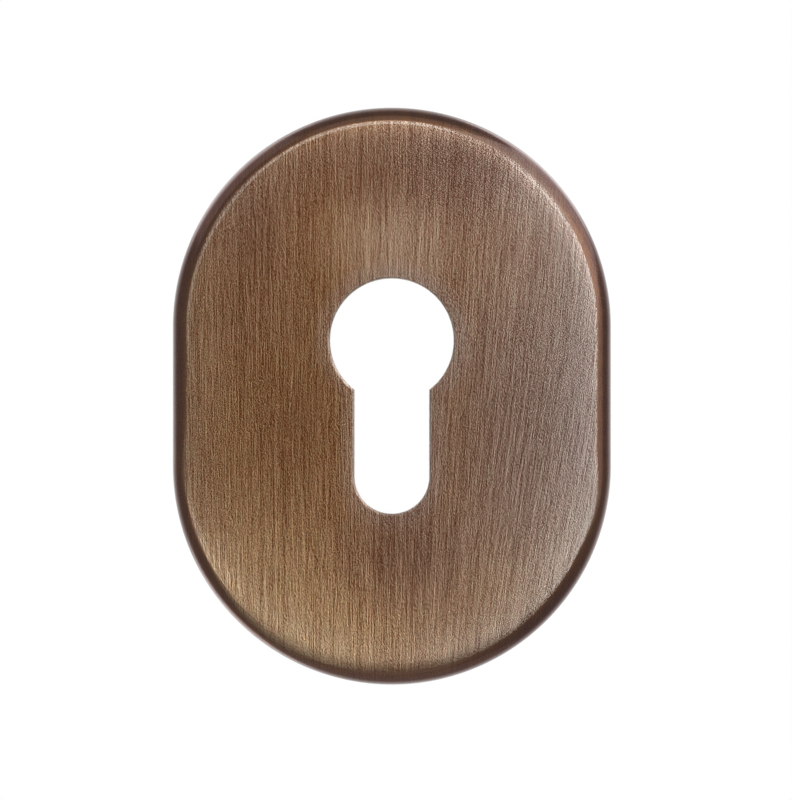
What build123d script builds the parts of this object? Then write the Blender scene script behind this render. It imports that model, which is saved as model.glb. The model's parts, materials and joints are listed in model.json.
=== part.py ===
from build123d import *

import os
from math import radians, sin

# A cover for a lock cylinder: an oval cap pressed from one brass sheet, open at the back.
# Millimetres. The door's surface is the plane Y = 0, the cap stands in front of it towards -Y,
# Z is up the door, and the origin is the middle of the cap's outline on the door.

# Outline: two half rounds joined by straight sides, and how far the cap stands off the door
cover_width = 63.0
straight_side = 20.0
cover_depth = 8.0

# Sheet, the bend between front and skirt, and the slight easing of the front before the bend
sheet = 1.2
inside_bend_radius = 1.3
ease_radius = 17.0
ease_angle = 8.0

# Profile cylinder that passes through: a round plug housing on top of a narrower web
cylinder_round = 17.0
cylinder_web = 10.0
cylinder_height = 33.0
cylinder_room = 0.35

# Rounding of the punched edge where it can be touched, around the front of the cut-out
edge_break = 0.35

# Places that follow from the sizes
half_width = cover_width / 2
end_centre = straight_side / 2
bend_radius = inside_bend_radius + sheet
ease_run = ease_radius * sin(radians(ease_angle))
bend_run = bend_radius * (1 - sin(radians(ease_angle)))
flat_half = half_width - ease_run - bend_run
round_centre = (cylinder_height - cylinder_round) / 2
web_centre = (cylinder_height - cylinder_web) / 2
web_middle = (0, (round_centre - web_centre) / 2)

with BuildPart() as cover:
    # Section of the sheet at the centre of the upper round end: front, easing, bend, skirt
    with BuildSketch(Plane.XY.offset(end_centre)):
        with BuildLine():
            front = Line((0, -cover_depth), (flat_half, -cover_depth))
            easing = JernArc(front @ 1, front % 1, ease_radius, ease_angle)
            bend = JernArc(easing @ 1, easing % 1, bend_radius, 90 - ease_angle)
            Line(bend @ 1, (half_width, 0))
            offset(amount=sheet, side=Side.LEFT)
        make_face()
    # Turned half round it is the upper end, drawn down it is the straight sides' upper half
    revolve(axis=Axis((0, 0, end_centre), (0, -1, 0)), revolution_arc=180)
    extrude(cover.faces().filter_by(Axis.Z), amount=end_centre)
    mirror(about=Plane.XY)

    # Cut-out with the cylinder's own outline and room all round, centred in the front
    with BuildSketch(Plane.XZ):
        with Locations((0, round_centre)):
            Circle(cylinder_round / 2 + cylinder_room)
        SlotCenterPoint(web_middle, (0, -web_centre), cylinder_web + 2 * cylinder_room)
    extrude(amount=cover_depth, mode=Mode.SUBTRACT)

    front_face = cover.faces().sort_by(Axis.Y)[0]
    fillet(front_face.inner_wires()[0].edges(), edge_break)

cover.part.label = "cover"

os.makedirs("parts", exist_ok=True)
export_step(cover.part, "parts/cover.step")
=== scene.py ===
"""Oval antique brass cover for a profile lock cylinder: its shell, its finish and a small studio."""

import json
import math

import bpy
import numpy as np
from bpy.props import FloatProperty, FloatVectorProperty, IntProperty, PointerProperty
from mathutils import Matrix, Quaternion, Vector


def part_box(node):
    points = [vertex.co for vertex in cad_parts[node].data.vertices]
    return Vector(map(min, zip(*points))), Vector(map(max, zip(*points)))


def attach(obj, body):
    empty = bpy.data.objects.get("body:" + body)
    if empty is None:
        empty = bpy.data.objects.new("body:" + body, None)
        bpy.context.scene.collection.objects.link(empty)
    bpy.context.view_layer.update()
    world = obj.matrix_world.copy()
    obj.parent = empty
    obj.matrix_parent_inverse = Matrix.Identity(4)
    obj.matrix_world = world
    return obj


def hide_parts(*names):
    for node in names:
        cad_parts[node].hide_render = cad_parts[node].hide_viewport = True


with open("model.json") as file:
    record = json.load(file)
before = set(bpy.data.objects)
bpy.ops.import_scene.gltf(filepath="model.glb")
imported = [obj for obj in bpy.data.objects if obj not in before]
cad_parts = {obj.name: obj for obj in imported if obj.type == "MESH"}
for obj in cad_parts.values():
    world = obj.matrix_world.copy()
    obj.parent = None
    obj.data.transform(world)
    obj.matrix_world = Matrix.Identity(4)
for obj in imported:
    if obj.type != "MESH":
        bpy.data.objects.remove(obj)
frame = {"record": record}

bl_info = {
    "name": "Cylinder Escutcheon",
    "version": (1, 0, 0),
    "blender": (4, 5, 0),
    "location": "View3D > Sidebar > Escutcheon",
    "description": "Builds an oval brass cover for a lock cylinder, with its finish and a studio",
    "category": "Object",
}

MM = 0.001
COVER_LOW, COVER_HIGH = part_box("cover")
MOUNTS = {mount["name"]: mount for mount in frame["record"]["mounts"]}
ROUND_MOUNT = MOUNTS["cylinder_round"]

# Lower part of the cut-out, in millimetres: half its width, and the drop of its rounding's centre
WEB_HALF, WEB_DROP = 5.35, 11.5

# Finishes of the cover's surfaces, in the order of the mesh's materials
FRONT, RIM, CUT, INSIDE = range(4)

# Mesh attribute that tells how many degrees the surface has turned from the front
TURNED = "turned"

# Mesh rows along each stretch of the section, and the angle between faces from which an edge is sharp
ROWS = {
    "cut": 4, "cut_rounding": 7, "front": 16, "easing": 12, "bend": 28, "skirt": 4,
    "trim_rounding": 4, "trim": 2, "inner_skirt": 5, "inner_bend": 14, "inner_easing": 6, "back": 8,
}
SHARP_ANGLE = math.radians(40)

# Numbers kept apart for the dashes of one line of brush strokes
DASHES_PER_LINE = 1024.0


def length(name, description, default):
    """A size in metres that a user may change."""
    return FloatProperty(name=name, description=description, default=default, unit="LENGTH", precision=5)


def colour(name, description, default):
    """A colour, in linear light, that a user may change."""
    return FloatVectorProperty(
        name=name, description=description, default=default, subtype="COLOR", min=0, max=1)


class EscutcheonShape(bpy.types.PropertyGroup):
    """Sizes of the pressed cover, in metres"""

    cover_width: length("Width", "Across the straight sides", COVER_HIGH.x - COVER_LOW.x)
    cover_height: length("Height", "From the top of the oval to its bottom", COVER_HIGH.z - COVER_LOW.z)
    cover_depth: length("Depth", "From the door to the front", COVER_HIGH.y - COVER_LOW.y)
    sheet: length("Sheet", "Thickness of the brass sheet", 1.2 * MM)
    bend_radius: length("Bend radius", "Outer radius between the front and the skirt", 2.5 * MM)
    ease_radius: length("Easing radius", "Radius by which the front leads into the bend", 17.0 * MM)
    ease_angle: FloatProperty(
        name="Easing angle", description="How far the front has turned where the bend begins",
        default=math.radians(8.0), subtype="ANGLE")
    round_radius: length("Round radius", "Radius of the cut-out's round", ROUND_MOUNT["dims"]["r_mm"] * MM)
    round_height: length(
        "Round height", "Height of the round's centre above the middle", ROUND_MOUNT["pos_m"][2])
    web_half: length("Web half width", "Half the width of the cut-out's lower part", WEB_HALF * MM)
    web_drop: length("Web drop", "Depth of the lower rounding's centre below the middle", WEB_DROP * MM)
    edge_break: length("Cut edge rounding", "Rounding of the punched edge at the front", 0.35 * MM)
    skirt_break: length("Skirt edge rounding", "Rounding of the trimmed edge at the door", 0.12 * MM)
    columns: IntProperty(
        name="Columns", description="Mesh columns around the oval, a multiple of four", default=720)


class EscutcheonFinish(bpy.types.PropertyGroup):
    """Colours of the patinated and brushed brass"""

    # The greyer colours stand partly for the brass's own tone and partly for a painted sheen; the polished
    # ones are reached by well worn brass and by painted highlights
    gold_groove: colour("Golden groove", "Patina in a stroke's groove, golden side", (0.070, 0.018, 0.000))
    gold_rubbed: colour("Golden rubbed", "Half bared brass, golden side", (0.195, 0.053, 0.005))
    gold_bare: colour("Golden bare", "Brass at the top of a stroke, golden side", (0.375, 0.225, 0.110))
    gold_polished_and_highlight: colour("Golden polished", "Brass worn quite clean, golden side", (0.530, 0.385, 0.215))
    grey_groove: colour("Grey groove", "Patina in a stroke's groove, greyer side", (0.080, 0.035, 0.018))
    grey_rubbed: colour("Grey rubbed", "Half bared brass, greyer side", (0.206, 0.125, 0.103))
    grey_bare: colour("Grey bare", "Brass at the top of a stroke, greyer side", (0.415, 0.336, 0.305))
    grey_polished_and_highlight: colour("Grey polished", "Brass worn quite clean, greyer side", (0.590, 0.515, 0.465))
    red_tint: colour("Red tint", "Tint of the redder streaks of the brushed brass", (1.00, 0.925, 0.905))
    cool_tint: colour("Cool tint", "Tint of the cooler streaks of the brushed brass", (0.975, 0.990, 0.935))
    patina: colour("Patina", "Dark patina on the rim that the brush doesn't reach", (0.080, 0.023, 0.019))
    patina_thin: colour("Thin patina", "Patina where it is worn thin", (0.165, 0.068, 0.022))
    # Thin patina made greyer where a reflection of a soft box is painted on the upper right of the bend
    patina_reflection_grey: colour("Grey patina", "Thin patina where it is greyer", (0.160, 0.100, 0.070))
    cut_bright: colour("Cut brass", "Brass where the punch has burnished it", (0.420, 0.290, 0.160))
    cut_dull: colour("Torn brass", "Brass where the punch has torn it", (0.200, 0.120, 0.060))
    inside_clean: colour("Inside", "Dull brass behind the front", (0.260, 0.160, 0.080))
    inside_stain: colour("Inside stain", "Tarnish on the brass behind the front", (0.110, 0.060, 0.030))


class EscutcheonStudio(bpy.types.PropertyGroup):
    """Camera, floor and surroundings"""

    lens: FloatProperty(
        name="Lens", description="Focal length of the camera, in millimetres", default=180.0)
    view_height: length("View height", "Height of the camera's field at the cover's outline", 115.0 * MM)
    view_right: length("View to the right", "How far right of the middle the camera looks", 0.592 * MM)
    view_up: length("View up", "How far above the middle the camera looks", -0.556 * MM)
    floor_drop: length("Floor drop", "How far the floor lies below the middle of the cover", 0.5)
    floor_radius: length("Floor radius", "Reach of the floor around the cover", 0.35)
    floor_tone: colour("Floor", "Pale floor", (0.86, 0.86, 0.86))
    front_level: FloatProperty(
        name="Front level", description="Light of the surroundings on the camera's side, 1 is white",
        default=0.38)


def keyhole(shape, turn, grown):
    """Cut-out's outline, grown outwards, at the given turns: an array of x and one of z.

    A ray from the corner's height meets either the round, or one of the web's straight sides,
    or the rounding under the web, whichever bounds the cut-out in that direction.
    """
    radius = shape.round_radius + grown
    half = shape.web_half + grown
    corner = shape.round_height - np.sqrt(radius**2 - half**2)
    above = shape.round_height - corner
    below = shape.web_drop + corner
    cosine, sine = np.cos(turn), np.sin(turn)
    to_round = above * sine + np.sqrt(np.maximum(radius**2 - (above * cosine) ** 2, 0))
    to_side = half / np.maximum(np.abs(cosine), 1e-9)
    to_under = -below * sine + np.sqrt(np.maximum(half**2 - (below * cosine) ** 2, 0))
    to_lower = np.where(-to_side * sine <= below, to_side, to_under)
    reach = np.where(sine >= 0, to_round, to_lower)
    return reach * cosine, corner + reach * sine


def oval(shape, turn, corner):
    """Spine heights and outward directions of the oval at the given turns, as three arrays.

    A ray from the corner's height meets a straight side, where the spine point is level with it,
    or one of the round ends, where the spine point is that end's centre.
    """
    half = shape.cover_width / 2
    end = (shape.cover_height - shape.cover_width) / 2
    cosine, sine = np.cos(turn), np.sin(turn)
    level = corner + half * sine / np.maximum(np.abs(cosine), 1e-9)
    side = np.abs(level) <= end
    end_height = np.where(sine >= 0, end, -end)
    offset = corner - end_height
    reach = -offset * sine + np.sqrt(half**2 - (offset * cosine) ** 2)
    spine = np.where(side, level, end_height)
    out_x = np.where(side, np.sign(cosine), reach * cosine / half)
    out_z = np.where(side, 0.0, (corner + reach * sine - end_height) / half)
    return spine, out_x, out_z


def section(shape):
    """The sheet's section as rows from the cut-out's back edge, over the front, to the back again.

    Each row has a share (0 on the cut-out's outline, 1 on the oval's), how far the cut-out is grown,
    the oval's half width, the depth y, how many degrees the surface has turned from the front, less
    than none on the cut-out's edge, and the finish of the strip that leads to the row.
    """
    depth, sheet = shape.cover_depth, shape.sheet
    bend, ease, lean = shape.bend_radius, shape.ease_radius, shape.ease_angle
    half = shape.cover_width / 2
    bend_centre = half - bend
    bend_level = -depth + ease * (1 - math.cos(lean)) + bend * math.cos(lean)
    flat = bend_centre + bend * math.sin(lean) - ease * math.sin(lean)
    cut, trim = shape.edge_break, shape.skirt_break
    right = math.pi / 2
    rows = []

    def add(share, grown, width, y, turned, finish):
        parts = (share, grown, width, y, np.degrees(turned))
        columns = np.broadcast_arrays(*(np.atleast_1d(part).astype(float) for part in parts))
        rows.append(np.stack([*columns, np.full(columns[0].shape, finish)], axis=1))

    def arc(start, stop, count):
        return np.linspace(start, stop, count + 1)[1:]

    add(0, 0, flat, -depth + sheet, 0, INSIDE)
    add(0, 0, flat, arc(-depth + sheet, -depth + cut, ROWS["cut"]), -right, CUT)
    turn = arc(0, right, ROWS["cut_rounding"])
    add(0, cut * (1 - np.cos(turn)), flat, -depth + cut * (1 - np.sin(turn)), turn - right, FRONT)
    add(arc(0, 1, ROWS["front"]), cut, flat, -depth, 0, FRONT)
    turn = arc(0, lean, ROWS["easing"])
    add(1, cut, flat + ease * np.sin(turn), -depth + ease * (1 - np.cos(turn)), turn, FRONT)
    turn = arc(lean, right, ROWS["bend"])
    add(1, cut, bend_centre + bend * np.sin(turn), bend_level - bend * np.cos(turn), turn, RIM)
    add(1, cut, half, arc(bend_level, -trim, ROWS["skirt"]), right, RIM)
    turn = arc(0, right, ROWS["trim_rounding"])
    add(1, cut, half - trim * (1 - np.cos(turn)), -trim * (1 - np.sin(turn)), right, RIM)
    add(1, cut, arc(half - trim, half - sheet, ROWS["trim"]), 0, right, CUT)
    add(1, cut, half - sheet, arc(0, bend_level, ROWS["inner_skirt"]), right, INSIDE)
    turn = arc(right, lean, ROWS["inner_bend"])
    inner = bend - sheet
    add(1, cut, bend_centre + inner * np.sin(turn), bend_level - inner * np.cos(turn), turn, INSIDE)
    turn = arc(lean, 0, ROWS["inner_easing"])
    inner = ease - sheet
    add(1, 0, flat + inner * np.sin(turn), -depth + ease - inner * np.cos(turn), turn, INSIDE)
    add(arc(1, 0, ROWS["back"])[:-1], 0, flat, -depth + sheet, 0, INSIDE)
    return np.concatenate(rows)


def cover_grid(shape, rows):
    """Points of the whole shell on a closed grid, rows of the section by columns around the oval.

    A point is the mix of the cut-out's outline and the oval's outline by the row's share,
    both taken at the column's turn, at the row's depth.
    """
    turn = np.arange(shape.columns) * (2 * math.pi / shape.columns)
    share, grown, width, depth = (rows[:, i, None] for i in range(4))
    corner = shape.round_height - math.sqrt(shape.round_radius**2 - shape.web_half**2)
    in_x, in_z = keyhole(shape, turn[None, :], grown)
    spine, out_x, out_z = (part[None, :] for part in oval(shape, turn, corner))
    x = (1 - share) * in_x + share * width * out_x
    z = (1 - share) * in_z + share * (spine + width * out_z)
    return np.stack([x, np.broadcast_to(depth, x.shape), z], axis=-1)


def closed_grid_mesh(name, points, turned, finishes):
    """Mesh of a grid that is closed both ways, with each row's turn as attribute and finish as material."""
    rows, columns = points.shape[:2]
    row, column = np.meshgrid(np.arange(rows), np.arange(columns), indexing="ij")
    next_row, next_column = (row + 1) % rows, (column + 1) % columns
    corners = ((row, column), (row, next_column), (next_row, next_column), (next_row, column))
    quads = np.stack([r * columns + c for r, c in corners], axis=-1).reshape(-1, 4)
    mesh = bpy.data.meshes.new(name)
    mesh.from_pydata(points.reshape(-1, 3), [], quads)
    mesh.polygons.foreach_set("use_smooth", np.ones(len(quads), bool))
    mesh.polygons.foreach_set("material_index", np.repeat(np.roll(finishes, -1), columns).astype(np.int32))
    attribute = mesh.attributes.new(TURNED, "FLOAT", "POINT")
    attribute.data.foreach_set("value", np.repeat(turned, columns).astype(np.float32))
    mesh.update()
    mesh.set_sharp_from_angle(angle=SHARP_ANGLE)
    return mesh


class Nodes:
    """Shorthand for the nodes of a material or the world."""

    def __init__(self, owner):
        owner.use_nodes = True
        self.tree = owner.node_tree
        self.tree.nodes.clear()

    def put(self, socket, value):
        """Links a socket to an input, or sets the input to a value or colour."""
        if isinstance(value, bpy.types.NodeSocket):
            self.tree.links.new(value, socket)
        elif socket.type == "RGBA":
            socket.default_value = (*value[:3], 1.0)
        else:
            socket.default_value = value

    def add(self, kind, inputs=None, **settings):
        """New node with its settings, and its inputs by name or number."""
        node = self.tree.nodes.new(kind)
        for key, value in settings.items():
            setattr(node, key, value)
        for key, value in (inputs or {}).items():
            self.put(node.inputs[key], value)
        return node

    def math(self, operation, *values):
        """Result of one mathematical operation."""
        return self.add("ShaderNodeMath", dict(enumerate(values)), operation=operation).outputs[0]

    def total(self, *terms):
        """Sum of terms, each a socket with its weight."""
        result = 0.0
        for socket, weight in terms:
            result = self.math("MULTIPLY_ADD", socket, weight, result)
        return result

    def step(self, value, low, high, to_low=0.0, to_high=1.0):
        """Smooth step of a value between low and high."""
        inputs = {"Value": value, "From Min": low, "From Max": high, "To Min": to_low, "To Max": to_high}
        return self.add("ShaderNodeMapRange", inputs, interpolation_type="SMOOTHSTEP").outputs[0]

    def mix(self, share, first, second):
        """Colour between two colours."""
        node = self.add("ShaderNodeMix", data_type="RGBA")
        for number, value in ((0, share), (6, first), (7, second)):
            self.put(node.inputs[number], value)
        return node.outputs[2]

    def tinted(self, first, second):
        """One colour times another."""
        node = self.add("ShaderNodeMix", {0: 1.0}, data_type="RGBA", blend_type="MULTIPLY")
        self.put(node.inputs[6], first)
        self.put(node.inputs[7], second)
        return node.outputs[2]

    def shades(self, value, *colours):
        """Colour from a row of colours, evenly spaced over values from 0 to 1."""
        node = self.add("ShaderNodeValToRGB", {0: value})
        stops = node.color_ramp.elements
        for number, shade in enumerate(colours):
            place = number / (len(colours) - 1)
            stop = stops[number] if number < 2 else stops.new(place)
            stop.position = place
            stop.color = (*shade, 1.0)
        return node.outputs[0]

    def distance(self, across, along):
        """Length of the way that goes so far across and so far along."""
        squares = ((self.math("MULTIPLY", part, part), 1.0) for part in (across, along))
        return self.math("SQRT", self.total(*squares))

    def spot(self, x, z, centre, reach):
        """1 at a centre, falling smoothly to 0 at its reach each way."""
        parts = zip((x, z), centre, reach)
        away = (
            self.math("DIVIDE", self.math("SUBTRACT", part, middle), far) for part, middle, far in parts)
        return self.step(self.distance(*away), 0.0, 1.0, 1.0, 0.0)

    def place(self):
        """Place on the piece in millimetres: x, y and z."""
        place = self.add("ShaderNodeTexCoord").outputs["Object"]
        scaled = self.add("ShaderNodeVectorMath", {0: place, 1: (1 / MM,) * 3}, operation="MULTIPLY")
        return self.add("ShaderNodeSeparateXYZ", {0: scaled.outputs[0]}).outputs[:3]

    def noise(self, place, size, detail=0.0):
        """Noise about zero, mostly within a quarter, at a place, with the size of its bumps each way."""
        spaced = {number: self.math("DIVIDE", p, s) for number, (p, s) in enumerate(zip(place, size))}
        vector = self.add("ShaderNodeCombineXYZ", spaced).outputs[0]
        inputs = {"Vector": vector, "Scale": 1.0, "Detail": detail, "Roughness": 0.6}
        return self.math("SUBTRACT", self.add("ShaderNodeTexNoise", inputs).outputs[0], 0.5)

    def random(self, number):
        """Random value from 0 to 1 for a number."""
        return self.add("ShaderNodeTexWhiteNoise", {"W": number}, noise_dimensions="1D").outputs["Value"]

    def dashes(self, across, along, width, run, seed):
        """Random height about zero of each dash in rows of dashes, side by side and with staggered ends."""
        line = self.math("FLOOR", self.math("DIVIDE", across, width))
        stagger = self.random(self.math("ADD", line, seed))
        dash = self.math("FLOOR", self.math("ADD", self.math("DIVIDE", along, run), stagger))
        number = self.math("MULTIPLY_ADD", line, DASHES_PER_LINE, self.math("ADD", dash, seed))
        return self.math("SUBTRACT", self.random(number), 0.5)

    def surface(self, **inputs):
        """Ends a material in a principled metal with these inputs."""
        named = {key.replace("_", " "): value for key, value in inputs.items()}
        shader = self.add("ShaderNodeBsdfPrincipled", {"Metallic": 1.0, **named})
        self.add("ShaderNodeOutputMaterial", {"Surface": shader.outputs[0]})


# Fine lines of the brush and the grain between them, in millimetres: width, length and weight
BRUSH_LINES = ((0.050, 2.8, 0.84), (0.045, 1.2, 0.34), (0.055, 9.0, 0.28))
BRUSH_GRAIN = (0.070, 0.13, 1.50)

# How far off the lines beside a place and the grain above it are, in millimetres,
# and the weight with which their height counts against the height at the place
BESIDE, ABOVE, TAKEN_OFF = 0.15, 0.145, -0.38

# Long soft streaks: slice of the noise, width and length in millimetres, and weight
SOFT_STREAKS = ((7.0, 0.45, 15.0, 0.44), (11.0, 1.0, 45.0, 0.38))

# Smooth steps across and up the front, in millimetres: where each begins and ends, and its values there
LEAN = (-2.0, 22.0, 0.0, 0.145)
DEPTH_ACROSS = (-22.0, 5.0, 1.12, 1.00)
DEPTH_UP = (8.0, 24.0, 1.0, 0.80)

# Twice the height in millimetres at which the lean would be eased off to none
LEAN_EASING = 120.0


def brush_strokes(nodes, x, z):
    """Height of the brush strokes about zero, and the place across them.

    The strokes are upright and lean a little towards the right edge, most of all low down. Fine lines of
    several lengths stand out from the lines beside them, and a fine grain from the grain beside and above
    it, over long soft streaks.
    """
    lean = nodes.step(x, *LEAN)
    fall = nodes.math("SUBTRACT", z, nodes.math("DIVIDE", nodes.math("MULTIPLY", z, z), LEAN_EASING))
    across = nodes.math("SUBTRACT", x, nodes.math("MULTIPLY", lean, fall))
    terms = []
    for level, width, run, weight in SOFT_STREAKS:
        terms.append((nodes.noise((across, level, z), (width, 1.0, run)), weight))
    marks = (*BRUSH_LINES, BRUSH_GRAIN)
    beside = (nodes.math("ADD", across, BESIDE), z)
    above = (across, nodes.math("ADD", z, ABOVE))
    layers = (((across, z), 1.0, marks), (beside, TAKEN_OFF, marks), (above, TAKEN_OFF, (BRUSH_GRAIN,)))
    for place, share, drawn in layers:
        for width, run, weight in drawn:
            terms.append((nodes.dashes(*place, width, run, seed=run / 16), weight * share))
    depth = nodes.math("MULTIPLY", nodes.step(x, *DEPTH_ACROSS), nodes.step(z, *DEPTH_UP))
    return nodes.math("MULTIPLY", nodes.total(*terms), depth), across


# Painted light and shade on the front: spots that are made brighter or darker, and greyer or less grey, than
# elsewhere. Centre and reach in millimetres, x and z, how much is added to the share of bared brass, which
# brightens it, and how much greyer it is
LIT_AND_SHADED_SPOTS = {
    "above_cut_out": ((-0.8, 22.0), (13.8, 10.5), 0.36, 0.28),
    "upper_right": ((23.0, 20.0), (18.0, 14.0), 0.09, -0.12),
    "upper_left": ((-19.0, 14.0), (14.0, 22.0), -0.13, 0.09),
    "upper_left_edge": ((-20.0, 28.0), (13.0, 15.0), -0.13, 0.20),
    "top": ((3.0, 33.0), (26.0, 11.0), -0.20, 0.34),
    "top_right_edge": ((14.0, 34.5), (10.0, 8.0), -0.20, -0.10),
    "left_of_cut_out": ((-14.0, -4.0), (13.5, 20.0), -0.17, -0.11),
    "right_of_cut_out": ((14.5, -1.0), (13.0, 18.0), -0.13, 0.06),
    "below_cut_out": ((1.0, -22.0), (14.0, 13.0), -0.31, 0.25),
    "low_left": ((-18.5, -33.0), (21.0, 25.0), 0.37, -0.02),
    "low_right": ((27.0, -19.0), (10.0, 17.0), 0.20, -0.12),
    "below_right": ((18.0, -28.0), (15.0, 13.0), 0.20, -0.22),
    "bottom": ((-3.0, -38.0), (30.0, 16.0), 0.24, 0.03),
    "bottom_edge": ((1.0, -40.5), (15.0, 4.5), -0.30, 0.00),
}

# Where the bend differs, from uneven brushing and from painted light and shade that darken or brighten it:
# centre and reach, by how many degrees the brush has gone less far over it, by how many degrees the patina
# is less far thinned, and over how many degrees more the brushing fades out
BEND_BRUSHING_AND_SHADE = {
    "top": ((0.0, 41.0), (22.0, 9.0), 0.2, -14.0, 0.0),
    "bottom": ((2.0, -41.0), (24.0, 9.0), 4.9, -4.0, 3.1),
    "low_left": ((-17.5, -33.0), (18.0, 17.0), -1.0, -24.0, 31.0),
    "low_right": ((21.0, -33.0), (12.0, 13.0), 1.8, 14.0, 0.0),
    "upper_left": ((-24.0, 27.0), (14.0, 18.0), 0.8, 14.0, 0.0),
    "upper_right": ((21.0, 31.0), (16.0, 16.0), 0.9, 6.0, 0.0),
    "left": ((-31.0, -11.0), (6.0, 10.0), -1.5, -20.0, 20.0),
    "left_low": ((-29.0, -22.5), (6.0, 9.0), 1.1, -12.0, 4.0),
    "right": ((30.5, -17.0), (6.0, 10.0), -1.5, -12.0, 16.0),
}

# Painted reflection of a soft box on the upper right of the bend, where the thin patina is made greyer:
# centre and reach
BEND_REFLECTION_TINT = ((21.0, 33.0), (19.0, 15.0))

# Turn in degrees up to which the brush has rubbed the patina through, and from which it is left
BRUSHED_TO, PATINA_FROM = 7.6, 8.8

# Degrees by which a stroke's height shifts the end of the brushing, low on the cover and above that
RAGGED_UP = (-38.0, -28.0, -6.0, -2.5)

# Turn in degrees over which the patina gets its full thickness, how far clouds and strokes shift that,
# and the size of the clouds in millimetres
PATINA_THICKENS = (0.0, 55.0, 1.0, 0.0)
CLOUD_SHIFT, STROKE_SHIFT = 60.0, -45.0
CLOUD_SIZE = (2.5, 2.5, 2.5)

# Bright crest where the front goes over into the bend, worn bare brass with a painted highlight: the turns
# over which it rises and falls, how its brightness, a painted highlight, grows upwards and to the right, and
# where it
# is brighter or less bright: centre, reach and how much
CREST_RISES, CREST_FALLS = (6.6, 7.3), (7.8, 8.6, 1.0, 0.0)
CREST_SLANT, CREST_UP = 0.35, (-40.0, 20.0, 0.1, 1.0)
CREST_SPOTS = {
    "top_right": ((14.0, 37.0), (10.0, 8.0), -1.0),
    "left": ((-31.0, 0.0), (5.0, 8.0), -0.9),
    "low_right": ((27.0, -25.0), (10.0, 14.0), 0.9),
    "low_left": ((-29.0, -21.5), (6.0, 9.0), 0.7),
}

# Wear, painted sheen and painted highlights along the edges, as smooth steps: by the turn in degrees over
# the cut-out's rounded edge, burnished brass with a painted highlight; by the distance from the oval's
# spine, and across the front, a band at the rim, partly worn and partly a painted sheen, greyer all round
# and brighter to the right; by the distance from the cut-out, a greyer band; and on the cut-out's lip, a
# painted highlight on its left and lower side, by the distance from it, across and up
CUT_EDGE = (-60.0, 0.0, 0.55, 0.0)
OUTER_BAND, OUTER_ACROSS = (21.5, 30.0), (-15.0, 25.0, 0.11, 0.28)
NEAR_CUT = (0.3, 3.5, 1.0, 0.0)
LIP, LIP_ACROSS, LIP_UP = (0.1, 0.55, 1.0, 0.0), (-6.5, -3.0, 0.55, 0.1), (2.0, 8.0, 1.0, 0.5)

# Greyer towards the right across the front, partly the brass's own tone and partly a painted sheen of the
# light from the right; and the blotches of tint: slice of the noise, size of its bumps and range
GREY_TONE_AND_SHEEN_ACROSS = (-6.0, 34.0)
BLOTCH_LEVEL, BLOTCH_SIZE, BLOTCH_RANGE = 9.0, (0.6, 1.0, 3.2), (-0.25, 0.25)

# How far the brass is bared without any wear, and how far the row of its colours reaches
BARED_ALWAYS, BARED_RANGE = 0.475, 1.5


def cut_out_distance(nodes, x, z):
    """How far a place on the front is from the cut-out, in millimetres: from its round or its web."""
    round_place, radius = ROUND_MOUNT["pos_m"][2] / MM, ROUND_MOUNT["dims"]["r_mm"]
    to_round = nodes.distance(x, nodes.math("SUBTRACT", z, round_place))
    spine = nodes.math("MINIMUM", nodes.math("MAXIMUM", z, -WEB_DROP), round_place)
    to_web = nodes.distance(x, nodes.math("SUBTRACT", z, spine))
    outside_round = nodes.math("SUBTRACT", to_round, radius)
    return nodes.math("MINIMUM", outside_round, nodes.math("SUBTRACT", to_web, WEB_HALF))


def edge_wear_and_highlights(nodes, x, z, turned):
    """Burnished brass with a painted highlight on the cut-out's rounded edge, the band at the rim, a greyer
    band around the cut-out, and a painted highlight on its lip.

    The band at the rim, partly worn and partly a painted sheen, comes twice: as it is, and as it brightens
    the brass, which it does more on the right.
    """
    # Burnished brass on the cut-out's rounded edge, with a painted highlight
    cut_edge = nodes.step(turned, *CUT_EDGE)
    end_centre = (COVER_HIGH.z - COVER_HIGH.x) / MM
    beyond = nodes.math("MAXIMUM", nodes.math("SUBTRACT", nodes.math("ABSOLUTE", z), end_centre), 0.0)
    # Band at the rim: partly worn, partly a painted sheen that is greyer all round and brighter to the right
    outer = nodes.step(nodes.distance(x, beyond), *OUTER_BAND)
    outer_wear_and_sheen = nodes.math("MULTIPLY", outer, nodes.step(x, *OUTER_ACROSS))
    from_cut = cut_out_distance(nodes, x, z)
    near_cut = nodes.step(from_cut, *NEAR_CUT)
    # Painted highlight on the left and lower side of the cut-out's lip
    lip_highlight = nodes.math("MULTIPLY", nodes.step(x, *LIP_ACROSS), nodes.step(z, *LIP_UP))
    lip = nodes.math("MULTIPLY", nodes.step(from_cut, *LIP), lip_highlight)
    return cut_edge, outer, outer_wear_and_sheen, near_cut, lip


def crest_wear_and_highlight(nodes, x, z, inwards):
    """Line along the rim where the front goes over into the bend: worn bare brass and a painted highlight,
    brightest up and to the right.
    """
    crest = nodes.math("MULTIPLY", nodes.step(inwards, *CREST_RISES), nodes.step(inwards, *CREST_FALLS))
    # Painted highlight that grows up and to the right, and is brighter or less bright in spots
    slanted = nodes.total((x, CREST_SLANT), (z, 1.0))
    spots = ((nodes.spot(x, z, centre, reach), more) for centre, reach, more in CREST_SPOTS.values())
    wear_and_highlight = nodes.total((nodes.step(slanted, *CREST_UP), 1.0), *spots)
    return nodes.math("MULTIPLY", crest, wear_and_highlight)


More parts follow.
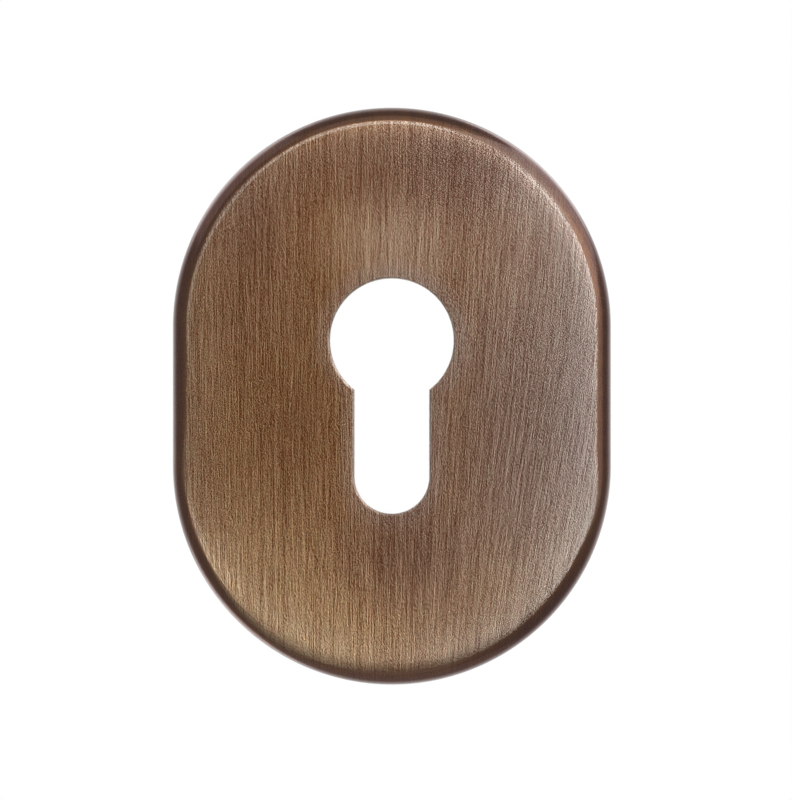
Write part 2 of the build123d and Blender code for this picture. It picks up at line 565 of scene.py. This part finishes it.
def brushed_brass(nodes, finish, x, z, across, strokes, edges, crest):
    """Colour of the brushed front: patina in the grooves to bare brass, golden or greyer, and tinted;
    painted light and shade from the spots, painted sheen and painted highlights are mixed into it.
    """
    cut_edge, outer, outer_wear_and_sheen, near_cut, lip = edges
    # Spots of painted light and shade
    spots = []
    for centre, reach, more, greyer in LIT_AND_SHADED_SPOTS.values():
        spots.append((nodes.spot(x, z, centre, reach), more, greyer))
    blotches = nodes.noise((across, BLOTCH_LEVEL, z), BLOTCH_SIZE)
    # Greyness: greyer to the right from the brass's own tone and a painted sheen, with painted sheen and
    # highlights from the spots, the rim band, the cut-out's edge and lip, and the crest
    greyness = nodes.total(
        (nodes.step(x, *GREY_TONE_AND_SHEEN_ACROSS), 1.0), (outer, 0.15), (near_cut, 0.35), (cut_edge, 1.0), (lip, 1.0),
        (crest, 0.35), *((spot, greyer) for spot, _, greyer in spots))
    # Share of bared brass, raised and lowered by painted light and shade in the spots and by painted
    # highlights on the crest, the rim band, the cut-out's edge and lip
    bared = nodes.total(
        (strokes, 1.0), (cut_edge, 1.0), (lip, 1.0), (crest, 0.5), (outer_wear_and_sheen, 1.0), (near_cut, 0.05),
        (BARED_ALWAYS, 1.0), *((spot, more) for spot, more, _ in spots))
    bared = nodes.math("DIVIDE", bared, BARED_RANGE)
    golden = nodes.shades(
        bared, finish.gold_groove, finish.gold_rubbed, finish.gold_bare, finish.gold_polished_and_highlight)
    grey = nodes.shades(
        bared, finish.grey_groove, finish.grey_rubbed, finish.grey_bare, finish.grey_polished_and_highlight)
    tint = nodes.mix(nodes.step(blotches, *BLOTCH_RANGE), finish.red_tint, finish.cool_tint)
    return nodes.tinted(nodes.mix(greyness, golden, grey), tint)


def antique_brass(finish, name, roughness, fan, coat, coat_roughness):
    """Outside: dark patina that brushing has rubbed through on the front and thinned on the bend, with
    painted light, shade, sheen and highlights in its colour.
    """
    material = bpy.data.materials.new(name)
    nodes = Nodes(material)
    x, y, z = nodes.place()
    turned = nodes.add("ShaderNodeAttribute", attribute_name=TURNED).outputs["Fac"]
    strokes, across = brush_strokes(nodes, x, z)
    edges = edge_wear_and_highlights(nodes, x, z, turned)
    # Shifts on the bend from uneven brushing and from painted light and shade
    bend_shifts = [
        (nodes.spot(x, z, centre, reach), degrees) for centre, reach, *degrees in BEND_BRUSHING_AND_SHADE.values()]
    edge = nodes.total((turned, 1.0), *((spot, less) for spot, (less, _, _) in bend_shifts))
    crest = crest_wear_and_highlight(nodes, x, z, nodes.math("MAXIMUM", turned, edge))
    brushed = brushed_brass(nodes, finish, x, z, across, strokes, edges, crest)

    cloud = nodes.noise((x, y, z), CLOUD_SIZE, detail=3.0)
    thinning = nodes.total((turned, 1.0), *((spot, less) for spot, (_, less, _) in bend_shifts))
    thinning = nodes.total((thinning, 1.0), (cloud, CLOUD_SHIFT), (strokes, STROKE_SHIFT))
    thin = nodes.step(thinning, *PATINA_THICKENS)
    # Thin patina, greyer where a reflection is painted on the upper right of the bend
    thin_patina_and_reflection = nodes.mix(nodes.spot(x, z, *BEND_REFLECTION_TINT), finish.patina_thin, finish.patina_reflection_grey)
    patina = nodes.mix(thin, finish.patina, thin_patina_and_reflection)
    ragged = nodes.math("MULTIPLY", strokes, nodes.step(z, *RAGGED_UP))
    patina_from = nodes.total((PATINA_FROM, 1.0), *((spot, more) for spot, (_, _, more) in bend_shifts))
    rubbed = nodes.step(nodes.math("ADD", edge, ragged), BRUSHED_TO, patina_from, 1.0, 0.0)

    bump = nodes.add("ShaderNodeBump", {"Height": strokes, "Strength": 0.2, "Distance": 0.02 * MM})
    nodes.surface(
        Base_Color=nodes.mix(rubbed, patina, brushed),
        Roughness=nodes.total((strokes, -0.15), (roughness, 1.0)),
        Anisotropic=fan, Coat_Weight=coat, Coat_Roughness=coat_roughness, Normal=bump.outputs[0])
    return material


# Depths in millimetres between which the burnished band of a cut goes over into the torn one
TORN_FROM = (-7.5, -7.2)


def punched_brass(finish):
    """Cut edges: burnished next to the front, torn and dull behind, with fine lines along the cut."""
    material = bpy.data.materials.new("punched_brass")
    nodes = Nodes(material)
    x, y, z = nodes.place()
    lines = nodes.noise((x, y, z), size=(0.12, 1.5, 0.12), detail=1.0)
    torn = nodes.step(nodes.total((lines, 1.2), (y, 1.0)), *TORN_FROM)
    shade = nodes.total((lines, 0.8), (torn, -0.6), (0.8, 1.0))
    bump = nodes.add("ShaderNodeBump", {"Height": lines, "Strength": 0.3, "Distance": 0.03 * MM})
    nodes.surface(
        Base_Color=nodes.shades(shade, finish.cut_dull, finish.cut_bright),
        Roughness=nodes.total((torn, 0.2), (lines, 0.1), (0.3, 1.0)), Normal=bump.outputs[0])
    return material


def inside_brass(finish):
    """Back of the sheet: dull brass as the press left it, with faint rolling lines and clouds of tarnish."""
    material = bpy.data.materials.new("dull_inside_brass")
    nodes = Nodes(material)
    x, y, z = nodes.place()
    cloud = nodes.noise((x, y, z), size=(9.0, 9.0, 9.0), detail=4.0)
    specks = nodes.noise((x, y, z), size=(0.5, 0.5, 0.5), detail=2.0)
    rolled = nodes.noise((x, 0.0, z), size=(0.35, 1.0, 18.0), detail=2.0)
    shade = nodes.total((cloud, 1.6), (specks, 0.5), (rolled, 0.7), (0.55, 1.0))
    bump = nodes.add("ShaderNodeBump", {
        "Height": nodes.total((rolled, 1.0), (specks, 0.6)), "Strength": 0.3, "Distance": 0.02 * MM})
    nodes.surface(
        Base_Color=nodes.shades(shade, finish.inside_stain, finish.inside_clean),
        Roughness=nodes.total((cloud, -0.3), (specks, 0.15), (0.48, 1.0)), Normal=bump.outputs[0])
    return material


class ESCUTCHEON_OT_cover(bpy.types.Operator):
    """Build the pressed brass cover and give it its finish"""

    bl_idname = "escutcheon.cover"
    bl_label = "Brass cover"

    def execute(self, context):
        shape, finish = context.scene.escutcheon_shape, context.scene.escutcheon_finish
        rows = section(shape)
        mesh = closed_grid_mesh("brass_cover", cover_grid(shape, rows), rows[:, 4], rows[:, 5])
        finishes = {
            FRONT: antique_brass(
                finish, "brushed_antique_brass", roughness=0.38, fan=0.7, coat=0.3, coat_roughness=0.3),
            RIM: antique_brass(
                finish, "dark_rim_brass", roughness=0.20, fan=0.0, coat=1.0, coat_roughness=0.12),
            CUT: punched_brass(finish),
            INSIDE: inside_brass(finish),
        }
        for number in sorted(finishes):
            mesh.materials.append(finishes[number])
        piece = bpy.data.objects.new("brass_cover", mesh)
        context.scene.collection.objects.link(piece)
        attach(piece, "root")
        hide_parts("cover")
        return {"FINISHED"}


# Soft boxes in front of the cover and behind it, all facing it: place, width and height in metres,
# turn in degrees, and radiance
SOFT_BOXES = {
    "top": ((-0.024, -0.37, 0.190), (0.118, 0.07), 0.0, 2.7),
    "above_camera": ((0.03, -0.53, 0.125), (0.50, 0.16), 0.0, 0.50),
    "right": ((0.27, -0.385, 0.05), (0.44, 0.32), 0.0, 0.54),
    "low": ((-0.11, -0.55, -0.110), (0.54, 0.09), 0.0, 1.8),
    "key": ((0.301, -0.225, 0.248), (0.355, 0.755), -68.7, 1.4),
    "crown": ((-0.005, -0.30, 0.34), (0.26, 0.20), 0.0, 0.35),
    "under": ((0.0, -0.37, -0.33), (0.22, 0.20), 0.0, 0.28),
    "left_up": ((-0.29, -0.09, 0.29), (0.46, 0.28), -11.9, 0.42),
    "back_right": ((0.26, 0.22, 0.30), (0.30, 0.28), 0.0, 1.15),
    "back_left": ((-0.28, 0.22, 0.28), (0.28, 0.28), 0.0, 0.90),
    "back_low_left": ((-0.28, 0.24, -0.28), (0.28, 0.28), 0.0, 0.75),
}


def soft_box(context, name, place, size, turn, radiance):
    """Rectangular lamp at a place, facing the cover, whose surface shines with the given radiance."""
    lamp = bpy.data.lights.new(name, "AREA")
    lamp.shape = "RECTANGLE"
    lamp.size, lamp.size_y = size
    lamp.energy = radiance * math.pi * size[0] * size[1]
    holder = bpy.data.objects.new(name, lamp)
    holder.location = place
    facing = (-Vector(place)).to_track_quat("-Z", "Y")
    holder.rotation_euler = (facing @ Quaternion((0, 0, 1), math.radians(turn))).to_euler()
    context.scene.collection.objects.link(holder)


def seen_directly(nodes):
    """Two values, each 1 or 0: for rays of the camera, and for those that a gloss or glass sends on."""
    path = nodes.add("ShaderNodeLightPath")
    sent_on = nodes.math("MAXIMUM", path.outputs["Is Glossy Ray"], path.outputs["Is Transmission Ray"])
    return path.outputs["Is Camera Ray"], sent_on


# Shares of the floor's radius between which it runs out into white
FLOOR_NEAR, FLOOR_FAR = 0.2, 0.7

# Y of the directions between which the surroundings go over into white where a gloss shows them
BEHIND = (-0.1, 0.7)

# Camera's sensor in millimetres, and the nearest place that it shows, in metres
SENSOR_WIDTH, CLIP_START = 36.0, 0.01


def floor_mesh(radius, drop):
    """Round floor: a grid of rings by spokes, all at one height below the cover."""
    rings, spokes = 24, 96
    reach = np.linspace(0, radius, rings + 1)[1:, None]
    turn = np.arange(spokes)[None, :] * (2 * math.pi / spokes)
    level = np.full((rings, spokes), -drop)
    points = np.stack([reach * np.cos(turn), reach * np.sin(turn), level], axis=-1)
    row, column = np.meshgrid(np.arange(rings - 1), np.arange(spokes), indexing="ij")
    after = (column + 1) % spokes
    corners = ((row, column), (row + 1, column), (row + 1, after), (row, after))
    quads = np.stack([r * spokes + c for r, c in corners], axis=-1).reshape(-1, 4)
    mesh = bpy.data.meshes.new("floor")
    mesh.from_pydata(points.reshape(-1, 3), [], [*quads.tolist(), list(range(spokes))])
    return mesh


def floor_material(studio):
    """Pale floor that keeps shadows near the cover and runs out into the white of the surroundings."""
    material = bpy.data.materials.new("pale_floor")
    nodes = Nodes(material)
    x, y, _ = nodes.place()
    near, far = (share * studio.floor_radius / MM for share in (FLOOR_NEAR, FLOOR_FAR))
    camera, sent_on = seen_directly(nodes)
    away = nodes.math("MULTIPLY", nodes.step(nodes.distance(x, y), near, far), camera)
    behind = nodes.math("MULTIPLY", nodes.step(y, near, far), sent_on)
    white = nodes.math("MAXIMUM", away, behind)
    matt = nodes.add("ShaderNodeBsdfDiffuse", {"Color": studio.floor_tone})
    bright = nodes.add("ShaderNodeEmission", {"Color": (1, 1, 1), "Strength": 1.0})
    mixed = nodes.add("ShaderNodeMixShader", {0: white, 1: matt.outputs[0], 2: bright.outputs[0]})
    nodes.add("ShaderNodeOutputMaterial", {"Surface": mixed.outputs[0]})
    return material


def surroundings(studio):
    """White surroundings: white to the camera, and dimmer on the camera's side to what they light."""
    world = bpy.data.worlds.new("studio")
    nodes = Nodes(world)
    camera, sent_on = seen_directly(nodes)
    direction = nodes.add("ShaderNodeTexCoord").outputs["Generated"]
    forward = nodes.add("ShaderNodeSeparateXYZ", {0: direction}).outputs["Y"]
    behind = nodes.math("MULTIPLY", nodes.step(forward, *BEHIND), sent_on)
    level = nodes.step(nodes.math("MAXIMUM", camera, behind), 0.0, 1.0, studio.front_level, 1.0)
    background = nodes.add("ShaderNodeBackground", {"Color": (1, 1, 1), "Strength": level})
    nodes.add("ShaderNodeOutputWorld", {"Surface": background.outputs[0]})
    return world


class ESCUTCHEON_OT_studio(bpy.types.Operator):
    """Set up the floor, the lamps, the white surroundings and the camera"""

    bl_idname = "escutcheon.studio"
    bl_label = "Studio"

    def execute(self, context):
        scene, studio = context.scene, context.scene.escutcheon_studio
        scene.view_settings.view_transform = "Standard"
        scene.world = surroundings(studio)

        floor = bpy.data.objects.new("floor", floor_mesh(studio.floor_radius, studio.floor_drop))
        floor.data.materials.append(floor_material(studio))
        scene.collection.objects.link(floor)

        for name, values in SOFT_BOXES.items():
            soft_box(context, name, *values)

        camera = bpy.data.cameras.new("camera")
        camera.lens = studio.lens
        camera.sensor_width = SENSOR_WIDTH
        camera.clip_start = CLIP_START
        holder = bpy.data.objects.new("camera", camera)
        away = studio.view_height * studio.lens / camera.sensor_width
        outline = COVER_LOW.y + scene.escutcheon_shape.bend_radius
        holder.location = (studio.view_right, outline - away, studio.view_up)
        holder.rotation_euler = (math.radians(90), 0, 0)
        scene.collection.objects.link(holder)
        scene.camera = holder
        return {"FINISHED"}


class ESCUTCHEON_PT_panel(bpy.types.Panel):
    """Builds the cover and its studio, and lists their sizes and colours"""

    bl_idname = "ESCUTCHEON_PT_panel"
    bl_label = "Cylinder escutcheon"
    bl_space_type = "VIEW_3D"
    bl_region_type = "UI"
    bl_category = "Escutcheon"

    def draw(self, context):
        for operator in ("escutcheon.cover", "escutcheon.studio"):
            self.layout.operator(operator)
        for group in GROUPS:
            box = self.layout.box()
            values = getattr(context.scene, group)
            for name in values.bl_rna.properties.keys():
                if name not in ("rna_type", "name"):
                    box.prop(values, name)


GROUPS = {
    "escutcheon_shape": EscutcheonShape,
    "escutcheon_finish": EscutcheonFinish,
    "escutcheon_studio": EscutcheonStudio,
}
CLASSES = (*GROUPS.values(), ESCUTCHEON_OT_cover, ESCUTCHEON_OT_studio, ESCUTCHEON_PT_panel)


def register():
    for cls in CLASSES:
        bpy.utils.register_class(cls)
    for name, group in GROUPS.items():
        setattr(bpy.types.Scene, name, PointerProperty(type=group))


def unregister():
    for name in GROUPS:
        delattr(bpy.types.Scene, name)
    for cls in reversed(CLASSES):
        bpy.utils.unregister_class(cls)


def main():
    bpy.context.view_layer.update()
    register()
    bpy.ops.escutcheon.cover()
    bpy.ops.escutcheon.studio()


if __name__ == "__main__":
    main()
